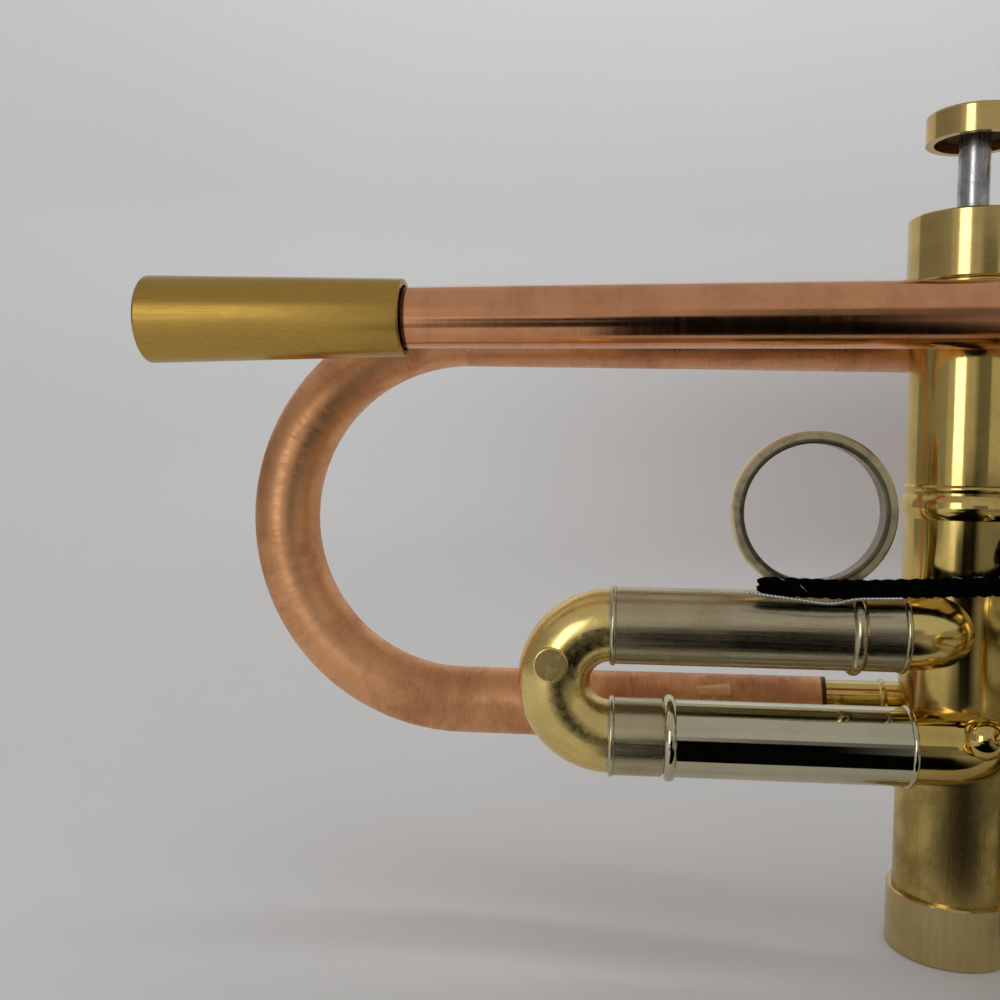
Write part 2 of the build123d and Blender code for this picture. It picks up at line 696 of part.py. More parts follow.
def water_key_lever():
    """Lever with a hub on the pin, a cork cup at one end and a touch plate at the other."""
    x, y, z = KEY_PIN
    hub = rod((x, y - 1.7, z), (x, y + 1.7, z), 1.9)
    arm = Plane.XZ.offset(-(y + 1.4)) * make_face(Polyline(
        (x - 1, z + 1.2), (x + 5, z + 0.7), (x + 5, z - 0.5), (x, z - 1.5),
        (x - 18, z - 4.4), (x - 21, z - 4.4), (x - 21, z - 3.2), (x - 18, z - 3.0), close=True))
    arm = extrude(arm, 2.8)
    cup = rod((KEY_NIPPLE_X, y, z - 0.6), (KEY_NIPPLE_X, y, z + 0.9), 3.6)
    touch = Pos(x - 22, y, z - 3.8) * scale(Cylinder(3.6, 1.2), (1.4, 1, 1))
    return hub + arm + cup + touch - rod((x, y - 4, z), (x, y + 4, z), 0.86)


def water_key_cork():
    x, y, z = KEY_PIN
    return rod((KEY_NIPPLE_X, y, z + 0.9), (KEY_NIPPLE_X, y, KEY_NIPPLE_Z - 0.05), 3.3)


def water_key_spring():
    """Torsion spring: coils on the pin at both sides of the hub."""
    x, y, z = KEY_PIN
    coils = []
    for side in (-1, 1):
        path = Helix(pitch=0.55, height=0.8, radius=1.35)
        coil = sweep(section(path, 0.22), path=path, is_frenet=True)
        start = y + side * 2.45 + 0.4
        coils.append(Pos(x, start, z) * Rot(90, 0, 0) * coil)
    return Compound([coil.solid() for coil in coils])


# ---------------------------------------------------------------- braces, hook, cord

def strut(start, end, keep_out):
    """Round strut with a disc flange at each end, cut to the pipes it joins."""
    start, end = Vector(*start), Vector(*end)
    way = (end - start).normalized()
    body = rod(start, end, 1.7)
    for foot, outward in ((start, way), (end, way * -1)):
        body += rod(foot, foot + outward * 2.2, 4.2)
    body += bead((start + end) / 2 - way * 1.5, way, 3.0, 1.0, 2.7)
    for solid in keep_out:
        body -= solid
    return body.solids().sort_by(SortBy.VOLUME)[-1]


def braces(pipe_fill, stem_fill):
    """Two struts from the mouthpipe side to the bell, and one between the tuning slide's sleeves."""
    upper = rod(*along_x(60, 140, *TUNE_UP), SLEEVE_R)
    lower = rod(*along_x(60, 140, *TUNE_LOW), SLEEVE_R)
    z = BELL_Z
    rear = strut((46, LEAD_Y + 5.2, z), (46, BELL_Y - 7.6, z), (pipe_fill, stem_fill))
    front = strut((108, TUNE_UP[0] + 5.9, z), (108, BELL_Y - 8.6, z), (upper, stem_fill))
    across = (Vector(0, *TUNE_UP) - Vector(0, *TUNE_LOW)).normalized()
    foot = Vector(122, *TUNE_LOW) + across * 5.9
    head = Vector(122, *TUNE_UP) - across * 5.9
    between = strut(foot, head, (upper, lower))
    return Compound([rear, front, between])


def finger_hook(pipe_fill):
    """Little-finger hook on the mouthpipe, open to the front."""
    x0, x1, low, centre_z, half_w = 41.0, 59.0, 114.5, 125.0, 2.6
    middle, radius, thick = (x0 + x1) / 2, (x1 - x0) / 2, 1.7
    outer = rod((middle, LEAD_Y - half_w, centre_z), (middle, LEAD_Y + half_w, centre_z), radius + thick / 2)
    inner = rod((middle, LEAD_Y - 9, centre_z), (middle, LEAD_Y + 9, centre_z), radius - thick / 2)
    arch = (outer - inner) & Pos(middle, LEAD_Y, centre_z + 15) * Box(60, 20, 30)
    rear = Pos(x0, LEAD_Y, (low + centre_z) / 2) * Box(thick, 2 * half_w, centre_z - low)
    front = Pos(x1, LEAD_Y, centre_z - 2.2) * Box(thick, 2 * half_w, 4.4)
    foot = Pos(x0 + 1.5, LEAD_Y, 116.6) * Box(11, 2 * half_w + 1.4, 4.0)
    return arch + rear + front + foot - pipe_fill


CORD_POINTS = [
    (-61.3, -14.6, 66.5),
    (-54.0, -15.0, 66.15),
    (-44.0, -14.9, 66.1),
    (-33.0, -14.2, 66.6),
    (-22.0, -13.6, 66.9),
    (-8.0, -12.9, 68.3),
    (12.0, -12.1, 68.9),
    (12.05, 12.0, 69.6),
    (-12.05, 12.1, 70.2),
    (-12.1, -3.0, 72.4),
    (-14.6, -13.6, 72.6),
]


def corner_radii(points, share=0.45):
    """Arc radius at each inner point: as large as the shorter of its two runs allows."""
    radii = []
    for a, b, c in zip(points, points[1:], points[2:]):
        a, b, c = Vector(*a), Vector(*b), Vector(*c)
        turn = (b - a).get_angle(c - b)
        shorter = min((b - a).length, (c - b).length)
        half = radians(turn) / 2
        radii.append(share * shorter * cos(half) / sin(half))
    return radii


def keeper_cord():
    """Cord from the thumb ring's foot past the first casing, round the second and back to a knot."""
    radii = corner_radii(CORD_POINTS)
    path = Wire(FilletPolyline(*CORD_POINTS, radius=radii).edges())
    body = bent_rod(path, CORD_R)
    print("cord: radii", [round(r, 1) for r in radii])
    print("cord: length", round(path.length, 1), "volume ratio",
          round(body.volume / (pi * CORD_R**2 * path.length), 4))
    knot = Pos(-14.6, -13.6, 70.3) * Sphere(4.4)
    return body + knot


def binding_wire():
    """Thin wire that ties the cord's end to the thumb ring's foot."""
    points = [(-63.5, -16.2, 65.4), (-56.0, -17.2, 64.6), (-49.5, -17.3, 63.8), (-46.4, -17.6, 64.9),
              (-42.0, -17.7, 65.0), (-38.3, -17.4, 65.1)]
    path = Wire(FilletPolyline(*points, radius=corner_radii(points)).edges())
    return bent_rod(path, 0.25)


# ---------------------------------------------------------------- all pieces

def build():
    pipe_fill = lead_cone(*LEAD_X, *LEAD_R)
    horn = bell()
    stem_fill = horn + rod(*along_x(BELL_START_X, 150, BELL_Y, BELL_Z), 6.0)
    nodes = {
        "mouthpiece_receiver": mouthpiece_receiver(),
        "leadpipe": leadpipe(),
        "bell": horn,
        "bell_rim_wire": bell_rim_wire(),
        "bell_bow": bell_bow(),
        "bow_nipple": bow_nipple(),
        "tail_patch": tail_patch(),
        "solder_saddles": solder_saddles(horn, pipe_fill, stem_fill),
        "braces": braces(pipe_fill, stem_fill),
        "finger_hook": finger_hook(pipe_fill),
        "valve_link_tubes": valve_link_tubes(),
        "first_slide_upper_elbow": elbow(1, 1),
        "first_slide_lower_elbow": first_slide_lower_elbow(),
        "first_slide_upper_inner": first_slide_upper_inner(),
        "first_slide_lower_outer": first_slide_lower_outer(),
        "first_slide_upper_sleeve": first_slide_upper_sleeve(),
        "first_slide_lower_inner": first_slide_lower_inner(),
        "first_slide_crook": first_slide_crook(),
        "thumb_ring": thumb_ring(),
        "second_slide_outer": second_slide_outer(),
        "second_slide_inner": second_slide_inner(),
        "second_slide_crook": second_slide_crook(),
        "third_slide_elbows": third_slide_elbows(),
        "third_slide_fixed_tubes": third_slide_fixed_tubes(),
        "third_slide_moving_tubes": third_slide_moving_tubes(),
        "third_slide_crook": third_slide_crook(),
        "finger_ring": finger_ring(),
        "tuning_slide_sleeves": tuning_slide_sleeves(),
        "tuning_slide_inners": tuning_slide_inners(),
        "tuning_slide_crook": tuning_slide_crook(),
        "water_key_saddle": water_key_saddle(),
        "water_key_lever": water_key_lever(),
        "water_key_cork": water_key_cork(),
        "water_key_spring": water_key_spring(),
        "keeper_cord": keeper_cord(),
        "binding_wire": binding_wire(),
    }
    for n in VALVE_X:
        nodes[f"valve_casing_{n}"] = valve_casing(n)
        nodes[f"bottom_cap_{n}"] = bottom_cap(n)
        nodes[f"top_cap_{n}"] = top_cap(n)
        nodes[f"piston_{n}"] = piston(n)
        nodes[f"valve_stem_{n}"] = valve_stem(n)
        nodes[f"finger_button_{n}"] = finger_button(n)
        nodes[f"valve_felts_{n}"] = valve_felts(n)
        nodes[f"valve_spring_{n}"] = valve_spring(n)
    return nodes


os.makedirs("parts", exist_ok=True)
for name, shape in build().items():
    export_step(shape, f"parts/{name}.step")
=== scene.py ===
import bpy
import math
import random
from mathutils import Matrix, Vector


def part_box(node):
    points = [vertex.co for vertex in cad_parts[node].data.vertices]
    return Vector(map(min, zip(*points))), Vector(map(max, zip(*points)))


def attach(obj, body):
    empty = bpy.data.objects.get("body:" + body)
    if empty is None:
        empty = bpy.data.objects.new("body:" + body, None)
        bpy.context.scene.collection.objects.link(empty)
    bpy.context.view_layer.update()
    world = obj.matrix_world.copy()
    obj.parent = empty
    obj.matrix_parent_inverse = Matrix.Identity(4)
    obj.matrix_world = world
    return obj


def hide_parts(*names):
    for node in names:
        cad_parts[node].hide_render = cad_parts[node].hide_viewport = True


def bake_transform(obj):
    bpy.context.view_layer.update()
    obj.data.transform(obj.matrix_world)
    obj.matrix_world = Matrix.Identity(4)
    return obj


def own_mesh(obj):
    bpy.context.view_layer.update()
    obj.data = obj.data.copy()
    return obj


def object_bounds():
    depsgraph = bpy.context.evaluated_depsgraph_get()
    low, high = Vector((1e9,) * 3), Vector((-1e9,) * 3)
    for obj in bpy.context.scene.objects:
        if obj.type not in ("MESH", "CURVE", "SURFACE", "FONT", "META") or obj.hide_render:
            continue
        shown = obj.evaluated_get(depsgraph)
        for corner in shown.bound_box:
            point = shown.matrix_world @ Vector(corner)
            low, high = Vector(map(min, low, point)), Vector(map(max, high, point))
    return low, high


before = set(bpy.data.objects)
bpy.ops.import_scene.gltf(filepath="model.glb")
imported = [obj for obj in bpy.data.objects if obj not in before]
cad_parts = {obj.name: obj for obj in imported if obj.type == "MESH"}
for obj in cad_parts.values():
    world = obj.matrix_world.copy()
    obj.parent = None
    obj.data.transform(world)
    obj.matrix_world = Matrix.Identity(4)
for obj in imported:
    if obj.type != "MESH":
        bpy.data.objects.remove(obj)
cad_low, cad_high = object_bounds()

MM = 0.001
VALVES = (1, 2, 3)

# The bell bow is a half circle in the XZ plane with a straight leg at each end
bow_low, bow_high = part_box("bell_bow")
BOW_TUBE_R = 6.45 * MM

# Camera, in the row frame: metres, degrees, millimetres of lens, and shares of the frame's width
CAMERA_AT = (-0.08628, -0.18935, 0.08814)
CAMERA_TURN = (86.857, -0.719, 5.199)
CAMERA_LENS = 37.286
CAMERA_SHIFT = (-0.01513, 0.00871)


def aim(obj, target):
    obj.rotation_euler = (Vector(target) - obj.location).to_track_quat("-Z", "Y").to_euler()


def put(obj):
    bpy.context.scene.collection.objects.link(obj)
    return obj


def add_camera():
    data = bpy.data.cameras.new("camera")
    data.sensor_width = 36
    data.lens = CAMERA_LENS
    data.shift_x, data.shift_y = CAMERA_SHIFT
    data.clip_start = 0.01
    camera = put(bpy.data.objects.new("camera", data))
    camera.location = CAMERA_AT
    camera.rotation_euler = [math.radians(a) for a in CAMERA_TURN]
    bpy.context.scene.camera = camera


# ---------------------------------------------------------------- materials

class Tree:
    """The node tree of one material, with a short call for each kind of node."""

    def __init__(self, name):
        self.material = bpy.data.materials.new(name + "_finish")
        self.material.use_nodes = True
        self.nodes = self.material.node_tree.nodes
        self.nodes.clear()
        self.shader = self.nodes.new("ShaderNodeBsdfPrincipled")
        out = self.nodes.new("ShaderNodeOutputMaterial")
        self.join(self.shader.outputs[0], out.inputs[0])

    def join(self, source, target):
        if isinstance(source, (int, float, tuple)):
            target.default_value = source
        else:
            self.material.node_tree.links.new(source, target)

    def place(self):
        return self.nodes.new("ShaderNodeTexCoord").outputs["Object"]

    def math(self, operation, a, b=0.0):
        node = self.nodes.new("ShaderNodeMath")
        node.operation = operation
        self.join(a, node.inputs[0])
        self.join(b, node.inputs[1])
        return node.outputs[0]

    def stretched(self, vector, scale, turn=(0, 0, 0)):
        node = self.nodes.new("ShaderNodeMapping")
        self.join(vector, node.inputs["Vector"])
        node.inputs["Scale"].default_value = scale
        node.inputs["Rotation"].default_value = [math.radians(a) for a in turn]
        return node.outputs[0]

    def noise(self, vector, scale=1.0, detail=4.0, rough=0.55, warp=0.0):
        node = self.nodes.new("ShaderNodeTexNoise")
        self.join(vector, node.inputs["Vector"])
        node.inputs["Scale"].default_value = scale
        node.inputs["Detail"].default_value = detail
        node.inputs["Roughness"].default_value = rough
        node.inputs["Distortion"].default_value = warp
        return node.outputs["Fac"]

    def spread(self, value, low, high, to_low=0.0, to_high=1.0):
        node = self.nodes.new("ShaderNodeMapRange")
        node.interpolation_type = "SMOOTHSTEP"
        self.join(value, node.inputs["Value"])
        numbers = {"From Min": low, "From Max": high, "To Min": to_low, "To Max": to_high}
        for name, number in numbers.items():
            node.inputs[name].default_value = number
        return node.outputs[0]

    def tint(self, amount, a, b):
        """Mixes two colours; each is a socket, or three numbers."""
        node = self.nodes.new("ShaderNodeMix")
        node.data_type = "RGBA"
        self.join(amount, node.inputs["Factor"])
        for colour, socket in ((a, "A"), (b, "B")):
            self.join((*colour, 1) if isinstance(colour, tuple) else colour, node.inputs[socket])
        return node.outputs["Result"]

    def along(self, vector, way):
        """How far along a direction each point lies."""
        node = self.nodes.new("ShaderNodeVectorMath")
        node.operation = "DOT_PRODUCT"
        self.join(vector, node.inputs[0])
        node.inputs[1].default_value = way
        return node.outputs["Value"]

    def away(self, vector, point):
        """How far each place lies from a point."""
        node = self.nodes.new("ShaderNodeVectorMath")
        node.operation = "DISTANCE"
        self.join(vector, node.inputs[0])
        node.inputs[1].default_value = point
        return node.outputs["Value"]

    def axes(self, vector):
        """The three coordinates of a place."""
        node = self.nodes.new("ShaderNodeSeparateXYZ")
        self.join(vector, node.inputs[0])
        return node.outputs

    def bump(self, height, depth, after=None):
        node = self.nodes.new("ShaderNodeBump")
        node.inputs["Distance"].default_value = depth
        self.join(height, node.inputs["Height"])
        if after is not None:
            self.join(after, node.inputs["Normal"])
        return node.outputs[0]


ALONG_X = (1, 0, 0)
NOT_ZERO = 1e-6

# Painted joints and painted shade: where the dark line's edge starts and ends, how soft the edges
# of a rim's painted shade and of a collar are, how dark a rim's painted shade gets, and the share
# of the metal's colour that is left in the dark
JOINT_LINE = (0.35 * MM, 0.70 * MM)
RIM_EDGE, RIM_SHADE = 0.35 * MM, 0.8
COLLAR_BLUR = 0.05 * MM
GRIME_AND_SHADE = (0.10, 0.09, 0.08)

# Tarnish: how much rougher a metal is at its foot, the relief of its clouds, and its long streaks
FOOT_ROUGHNESS = 0.13
CLOUD_DEPTH = 2.5e-6
LONG_GRAIN, LONG_GRAIN_TURN = 0.22, (3, 4, 2)


def along_bow(tree):
    """Coordinates on the bell bow: distance along the tube, then across it."""
    x, y, z = tree.axes(tree.place())
    radius = (bow_high.z - bow_low.z) / 2 - BOW_TUBE_R
    centre_z = (bow_high.z + bow_low.z) / 2
    start_x = bow_low.x + radius + BOW_TUBE_R
    dx = tree.math("SUBTRACT", x, start_x)
    dz = tree.math("SUBTRACT", z, centre_z)
    straight = tree.math("MAXIMUM", dx, 0.0)
    curved = tree.math("MULTIPLY", tree.math("MINIMUM", dx, 0.0), -1.0)
    angle = tree.math("ARCTAN2", dz, tree.math("ADD", curved, NOT_ZERO))
    run = tree.math("ADD", tree.math("MULTIPLY", angle, radius),
                    tree.math("MULTIPLY", tree.math("SIGN", dz), straight))
    squares = tree.math("ADD", tree.math("POWER", curved, 2.0), tree.math("POWER", dz, 2.0))
    out = tree.math("SQRT", squares)
    join = tree.nodes.new("ShaderNodeCombineXYZ")
    for value, socket in zip((run, y, out), join.inputs):
        tree.join(value, socket)
    return join.outputs[0]


def joint_line(tree, colour, dark, direction, distance):
    """Paints the dark line of a joint across a piece, that far along a direction."""
    offset = tree.math("SUBTRACT", tree.along(tree.place(), direction), distance)
    gap = tree.math("ABSOLUTE", offset)
    return tree.tint(tree.spread(gap, *JOINT_LINE, 1.0, 0.0), colour, dark)


def painted_rim_shade(tree, colour, dark, x, z, radius):
    """Paints shade on a face up to a radius from an axis along Y: painted shade standing in for a
    hole's dark inner wall.
    """
    away = tree.away(tree.stretched(tree.place(), (1, 0, 1)), (x, 0, z))
    return tree.tint(tree.spread(away, radius, radius + RIM_EDGE, RIM_SHADE, 0.0), colour, dark)


def round_tangent(tree, axis, brushed):
    """Smears reflections along a surface that goes round an axis, as a brushed finish does."""
    tangent = tree.nodes.new("ShaderNodeTangent")
    tangent.direction_type = "RADIAL"
    tangent.axis = axis
    tree.join(tangent.outputs[0], tree.shader.inputs["Tangent"])
    tree.shader.inputs["Anisotropic"].default_value = brushed


def metal(name, base, tarnish, roughness, grain, grain_depth, cover=0.5, blotch=70.0, spots=0.3,
          brushed=0.0, around=None, place=None, foot=None, scratch=0.0, collar=None, seam=None,
          rim=None):
    """Metal with cloudy tarnish, small spots, and a grain across the largest scale in grain.

    cover is how much tarnish there is, blotch its scale, and spots how strong the small spots are.
    brushed is how far reflections smear, and around is the axis that the surface goes round.
    place gives the coordinates, where they aren't the object's own.
    foot is a height range below which the metal is duller and more tarnished.
    scratch is how far single grain lines lighten or darken the colour.
    collar is an X, and the colour of the metal past it.
    seam is what joint_line is told of a joint, and rim the axis and radius of a hole whose rim gets
    painted shade.
    """
    tree = Tree(name)
    where = place(tree) if place else tree.place()
    clouds = tree.noise(where, blotch, 5.0, 0.6, 0.6)
    fine_clouds = tree.noise(where, blotch * 7, 4.0, 0.65)
    specks = tree.noise(where, blotch * 22, 2.0, 0.5)
    lines = tree.noise(tree.stretched(where, grain), 1.0, 3.0, 0.6)
    long_grain = [g * LONG_GRAIN for g in grain]
    long_lines = tree.noise(tree.stretched(where, long_grain, LONG_GRAIN_TURN), 1.0, 2.0, 0.5)

    veil = tree.math("ADD", tree.spread(clouds, 0.40, 0.72, 0.0, cover),
                     tree.spread(fine_clouds, 0.45, 0.8, 0.0, cover * 0.35))
    veil = tree.math("MAXIMUM", veil, tree.spread(specks, 0.66, 0.78, 0.0, spots))
    dull = tree.spread(lines, 0.3, 0.75, roughness * 0.75, roughness * 1.2)
    if foot:
        low = tree.spread(tree.axes(where)[2], *foot, 1.0, 0.0)
        worn = tree.spread(tree.noise(where, blotch * 2.5, 5.0, 0.65), 0.38, 0.68, 0.25, 0.65)
        veil = tree.math("ADD", veil, tree.math("MULTIPLY", low, worn))
        dull = tree.math("ADD", dull, tree.math("MULTIPLY", low, FOOT_ROUGHNESS))
    dull = tree.math("ADD", dull, tree.math("MULTIPLY", veil, roughness * 0.7))
    tree.join(dull, tree.shader.inputs["Roughness"])

    streak = tree.spread(long_lines, 0.35, 0.7, -0.08, 0.08)
    if scratch:
        streak = tree.math("ADD", streak, tree.spread(lines, 0.32, 0.68, -scratch, scratch))
    # Dark colour for joint lines, and for the painted shade round a hole
    dark = tuple(share * level for share, level in zip(GRIME_AND_SHADE, base))
    if collar:
        edge, beyond = collar
        x = tree.along(tree.place(), ALONG_X)
        past = tree.spread(x, edge - COLLAR_BLUR, edge + COLLAR_BLUR)
        base = tree.tint(past, base, beyond)
    colour = tree.tint(tree.math("ADD", veil, streak), base, tarnish)
    if seam:
        colour = joint_line(tree, colour, dark, *seam)
    # Painted shade round a hole, standing in for its dark inner wall
    if rim:
        colour = painted_rim_shade(tree, colour, dark, *rim)
    tree.join(colour, tree.shader.inputs["Base Color"])

    relief = tree.bump(fine_clouds, CLOUD_DEPTH, tree.bump(lines, grain_depth))
    tree.join(relief, tree.shader.inputs["Normal"])
    tree.shader.inputs["Metallic"].default_value = 1.0
    if around:
        round_tangent(tree, around, brushed)
    return tree.material


def fibre(name, base, shade, scale, depth, roughness, gloss=0.2):
    """Matt fibrous or granular stuff: felt, cork and the cord's fuzz."""
    tree = Tree(name)
    where = tree.place()
    clumps = tree.noise(where, scale, 6.0, 0.7, 0.4)
    grain = tree.noise(where, scale * 5, 3.0, 0.6)
    colour = tree.tint(tree.spread(clumps, 0.35, 0.65), base, shade)
    tree.join(colour, tree.shader.inputs["Base Color"])
    tree.join(tree.bump(tree.math("ADD", clumps, grain), depth), tree.shader.inputs["Normal"])
    matt = tree.spread(grain, 0.3, 0.7, roughness - 0.08, roughness + 0.05)
    tree.join(matt, tree.shader.inputs["Roughness"])
    tree.shader.inputs["Specular IOR Level"].default_value = gloss
    return tree.material


# Scales of the grain along X, Y and Z
LENGTHWISE = (45, 2400, 2400)
CROSSWISE = (2400, 60, 60)
TURNED = (60, 60, 2600)
UPRIGHT = (2400, 2400, 50)
ACROSS_BOW = (2300, 260, 260)
EVEN = (900, 900, 900)

NICKEL = (0.60, 0.56, 0.40)

# Joints: a direction, and how far along it the joint lies
TAIL_END = ((0.9907, -0.1322, 0.0313), -44.85 * MM)
RECEIVER_END = (ALONG_X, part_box("mouthpiece_receiver")[1].x + 0.2 * MM)
CROOK_FERRULE_X = -86.0 * MM
CASING_FOOT_Z = (0.030, 0.066)

# Axis of the thumb ring, X and Z, and how far out its front face gets painted shade for the ring's
# inner wall
RING_SHADED_RIM = (-51.7 * MM, 78.5 * MM, 12.3 * MM)

MATERIALS = {
    "receiver_brass": metal("receiver_brass", (0.52, 0.325, 0.072), (0.32, 0.20, 0.05), 0.27,
                            LENGTHWISE, 3e-6, cover=0.35, blotch=55, spots=0.10, brushed=0.55,
                            around="X", scratch=0.07),
    "raw_brass": metal("raw_brass", (0.74, 0.53, 0.16), (0.36, 0.24, 0.065), 0.085, TURNED, 5e-7,
                       cover=0.55, blotch=75, spots=0.35),
    "cap_brass": metal("cap_brass", (0.62, 0.48, 0.22), (0.35, 0.27, 0.125), 0.17, UPRIGHT, 1e-6,
                       cover=0.40, blotch=90, spots=0.2, scratch=0.06),
    "copper": metal("copper", (0.83, 0.39, 0.19), (0.45, 0.17, 0.08), 0.16, CROSSWISE, 8e-7,
                    cover=0.35, blotch=90, spots=0.12, seam=RECEIVER_END),
    "copper_brushed": metal("copper_brushed", (0.86, 0.435, 0.205), (0.58, 0.265, 0.125), 0.40,
                            ACROSS_BOW, 2.4e-5, cover=0.75, blotch=75, spots=0.10,
                            place=along_bow, scratch=0.05, seam=TAIL_END),
    "nickel_silver": metal("nickel_silver", (0.66, 0.62, 0.44), (0.36, 0.32, 0.21), 0.05,
                           LENGTHWISE, 4e-7, cover=0.22, blotch=60, spots=0.25),
    "nickel_dull": metal("nickel_dull", (0.50, 0.42, 0.25), (0.36, 0.29, 0.165), 0.33, EVEN,
                         1.5e-6, cover=0.40, blotch=110, spots=0.05),
    "piston_alloy": metal("piston_alloy", (0.62, 0.62, 0.62), (0.45, 0.45, 0.45), 0.12, TURNED,
                          1e-6),
    "steel": metal("steel", (0.52, 0.52, 0.52), (0.20, 0.20, 0.20), 0.25, UPRIGHT, 8e-6,
                   cover=0.75, blotch=260, spots=0.3),
    "spring_steel": metal("spring_steel", (0.72, 0.72, 0.70), (0.4, 0.38, 0.35), 0.14, TURNED,
                          5e-7),
    "felt": fibre("felt", (0.15, 0.10, 0.06), (0.08, 0.05, 0.03), 900, 1.5e-4, 0.9),
    "cork": fibre("cork", (0.62, 0.42, 0.26), (0.35, 0.22, 0.13), 1100, 8e-5, 0.8),
    "cord": fibre("cord", (0.002, 0.002, 0.002), (0.0008, 0.0008, 0.0008), 2500, 6e-5, 0.95,
                  gloss=0.03),
}

# Finishes of single nodes that differ from the rest of their slot
CASING_BRASS = metal("casing_brass", (0.74, 0.54, 0.17), (0.34, 0.24, 0.08), 0.11, UPRIGHT, 5e-7,
                     cover=0.50, blotch=80, spots=0.4, foot=CASING_FOOT_Z)
CROOK_BRASS = metal("crook_brass", (0.88, 0.66, 0.24), (0.62, 0.45, 0.15), 0.25, EVEN, 6e-7,
                    cover=0.35, blotch=75, spots=0.1, collar=(CROOK_FERRULE_X, NICKEL))
BUTTON_BRASS = metal("button_brass", (0.72, 0.52, 0.19), (0.44, 0.30, 0.10), 0.13, TURNED, 8e-7,
                     cover=0.35, blotch=90, spots=0.15)
SLIDE_SATIN = metal("slide_satin", (0.58, 0.50, 0.315), (0.36, 0.30, 0.17), 0.26, LENGTHWISE,
                    7e-7, cover=0.45, blotch=60, spots=0.15, scratch=0.03)
BELL_COPPER = metal("bell_copper", (0.74, 0.345, 0.165), (0.42, 0.17, 0.08), 0.30, CROSSWISE,
                    4e-6, cover=0.60, blotch=60, spots=0.12, scratch=0.04)
ELBOW_BRASS = metal("elbow_brass", (0.90, 0.68, 0.24), (0.54, 0.38, 0.12), 0.17, EVEN, 6e-7,
                    cover=0.45, blotch=75, spots=0.2)
PATCH_COPPER = metal("patch_copper", (0.88, 0.54, 0.28), (0.66, 0.38, 0.19), 0.26, EVEN, 1.5e-6,
                     cover=0.50, blotch=120, spots=0.1)
# The thumb ring's front face gets painted shade round its hole.
RING_NICKEL = metal("ring_nickel", (0.84, 0.735, 0.465), (0.62, 0.52, 0.31), 0.35, EVEN, 1.5e-6,
                    cover=0.40, blotch=60, spots=0.0, rim=RING_SHADED_RIM)
OWN_FINISH = {
    "bell": BELL_COPPER,
    "tail_patch": PATCH_COPPER,
    "thumb_ring": RING_NICKEL,
    "first_slide_crook": CROOK_BRASS,
    "first_slide_upper_elbow": ELBOW_BRASS,
    "first_slide_upper_sleeve": SLIDE_SATIN,
    "first_slide_upper_inner": SLIDE_SATIN,
    "first_slide_lower_inner": SLIDE_SATIN,
}
for valve in VALVES:
    OWN_FINISH[f"valve_casing_{valve}"] = CASING_BRASS
    OWN_FINISH[f"top_cap_{valve}"] = BUTTON_BRASS
    OWN_FINISH[f"finger_button_{valve}"] = BUTTON_BRASS


def dress_nodes():
    """Gives each CAD node its own finish, or that of its material slot in the record."""
    for name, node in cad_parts.items():
        for holder in node.material_slots:
            holder.material = OWN_FINISH.get(name) or MATERIALS[holder.material.name]


# ---------------------------------------------------------------- cord and wire

# Routes and the knot's middle, in millimetres
CORD_ROUTE = [(-61.3, -14.6, 66.5), (-54, -15, 66.15), (-44, -14.9, 66.1), (-33, -14.2, 66.6),
              (-22, -13.6, 66.9), (-8, -12.9, 68.3), (12, -12.1, 68.9), (12.05, 12, 69.6),
              (-12.05, 12.1, 70.2), (-12.1, -3, 72.4), (-14.6, -13.6, 72.6)]
KNOT_AT = (-12.4, -14.2, 70.8)
WIRE_ROUTE = [(-63.5, -16.2, 65.4), (-56, -17.2, 64.6), (-49.5, -17.3, 63.8), (-46.4, -17.6, 64.9),
              (-42, -17.7, 65.0), (-38.3, -17.4, 65.1)]

YARNS, YARN_R, YARN_OFFSET, YARN_PITCH = 4, 0.78 * MM, 0.92 * MM, 9 * MM
YARN_WOBBLE = 0.07 * MM
CORD_STEP, WIRE_STEP = 0.6 * MM, 0.15 * MM
KNOT_SIZE, KNOT_R, KNOT_POINTS = 0.72 * MM, 1.0 * MM, 90

FUZZ_PER_POINT, FUZZ_ROOT, FUZZ_WIDTH = 11, 1.45 * MM, 0.032 * MM
FUZZ_LENGTH = (0.5, 1.25)

# Silver threads: the line points where they start, and how they lie on the cord
GLINT_STARTS, GLINT_POINTS = range(5, 75, 6), 3
GLINT_OFFSET, GLINT_PITCH, GLINT_R = 1.73 * MM, 12 * MM, 0.05 * MM

WIRE_STRANDS, STRAND_R, STRAND_OFFSET, STRAND_PITCH = 2, 0.16 * MM, 0.15 * MM, 1.3 * MM

SPRING_WIRE_R, SPRING_TURNS, SPRING_SEAT_Z = 0.45 * MM, 8, 1.6 * MM


def smooth_line(route, step):
    """Points an even step apart, in metres, on a smooth spline through a route in millimetres."""
    curve = bpy.data.curves.new("route", "CURVE")
    curve.dimensions = "3D"
    spline = curve.splines.new("NURBS")
    spline.points.add(len(route) - 1)
    for point, at in zip(spline.points, route):
        point.co = (*[c * MM for c in at], 1)
    spline.order_u = 3
    spline.use_endpoint_u = True
    spline.resolution_u = 24
    holder = put(bpy.data.objects.new("route", curve))
    mesh = bpy.data.meshes.new_from_object(holder)
    points = [v.co.copy() for v in mesh.vertices]
    bpy.data.objects.remove(holder)
    bpy.data.curves.remove(curve)
    bpy.data.meshes.remove(mesh)
    even, left = [points[0]], step
    for a, b in zip(points, points[1:]):
        gap = (b - a).length
        while gap >= left:
            a = a + (b - a) * (left / gap)
            even.append(a)
            gap, left = gap - left, step
        left -= gap
    return even


def frames(points):
    """For each point of a line: it, its direction, and two sideways ones that don't twist."""
    side, made = None, []
    for i, p in enumerate(points):
        way = (points[min(i + 1, len(points) - 1)] - points[max(i - 1, 0)]).normalized()
        if side is None:
            side = way.orthogonal()
        side = (side - way * side.dot(way)).normalized()
        made.append((p, way, side, way.cross(side)))
    return made


